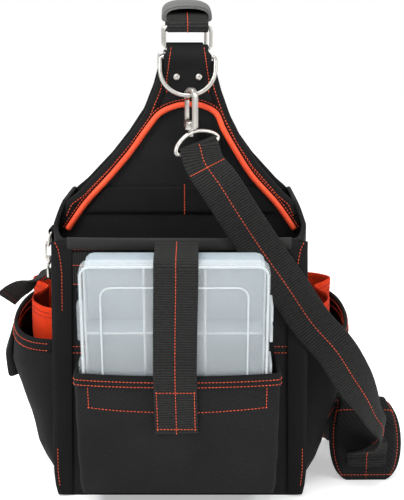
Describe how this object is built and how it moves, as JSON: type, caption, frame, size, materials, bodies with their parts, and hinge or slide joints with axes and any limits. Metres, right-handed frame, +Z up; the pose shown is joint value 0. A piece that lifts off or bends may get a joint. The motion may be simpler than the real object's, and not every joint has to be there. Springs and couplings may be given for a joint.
{
  "type": "open tool bag with shoulder strap",
  "caption": "Soft open-top tool bag with a parts box in its front pocket, bellows side pockets, a gripped top handle and a padded shoulder strap.",
  "frame": {"origin": "centre of the bag's base, on the surface it stands on", "axes": "+Z up, +X to the right along the front panel, -Y towards the front, where the parts box is"},
  "size_m": [0.392, 0.2841, 0.4595],
  "materials": {
    "black_cloth": "coarse plain-woven polyester, matt",
    "black_webbing": "ribbed webbing and binding tape",
    "orange_cloth": "orange-red twill",
    "orange_cord": "bright orange-red covered cord",
    "rubber": "matt moulded rubber",
    "nickel": "bright nickel plate",
    "clear_plastic": "frosted translucent polypropylene"
  },
  "bodies": {
    "bag": {"body_shell": "black_cloth", "corner_binding_front_left": "black_webbing", "corner_binding_front_right": "black_webbing", "corner_binding_rear_left": "black_webbing", "corner_binding_rear_right": "black_webbing", "front_wing": "black_cloth", "rear_wing": "black_cloth", "front_piping": "orange_cord", "elastic_band": "black_webbing", "box_pocket": "black_cloth", "box_pocket_binding": "black_webbing", "parts_box_tray": "clear_plastic", "parts_box_lid": "clear_plastic", "box_latch_lower": "clear_plastic", "box_latch_middle": "clear_plastic", "box_strap": "black_webbing", "side_pocket_right": "black_cloth", "side_binding_right": "black_webbing", "tool_pocket_right": "orange_cloth", "side_pocket_left": "black_cloth", "side_binding_left": "black_webbing", "tool_pocket_left": "orange_cloth", "ring_front": "nickel", "tab_front": "black_cloth", "d_ring_front": "nickel", "rivet_front_left": "nickel", "rivet_front_right": "nickel", "ring_rear": "nickel", "tab_rear": "black_cloth", "d_ring_rear": "nickel", "rivet_rear_left": "nickel", "rivet_rear_right": "nickel", "handle_webbing": "black_webbing", "grip": "rubber", "snap_hook": "nickel", "snap_eye": "nickel", "rear_snap": "nickel", "shoulder_pad": "black_cloth", "shoulder_strap": "black_webbing", "side_loop": "black_webbing", "side_ring": "nickel", "side_snap": "nickel", "tape_strap": "black_webbing"},
    "hook_gate": {"snap_gate": "nickel"},
    "upper_latch": {"box_latch_upper": "clear_plastic"}
  },
  "joints": [
    {"name": "snap_gate", "type": "hinge", "parent": "bag", "child": "hook_gate", "pos_m": [0.00674, -0.06066, 0.35268], "axis": [0.8191, 0.5736, 0], "range_deg": [0, 25], "stiffness_Nm_per_rad": 0.02, "springref_deg": -17.19},
    {"name": "box_latch_upper", "type": "hinge", "parent": "bag", "child": "upper_latch", "pos_m": [0.08015, -0.15986, 0.1839], "axis": [0, 0.2079, -0.9781], "range_deg": [0, 75]}
  ]
}
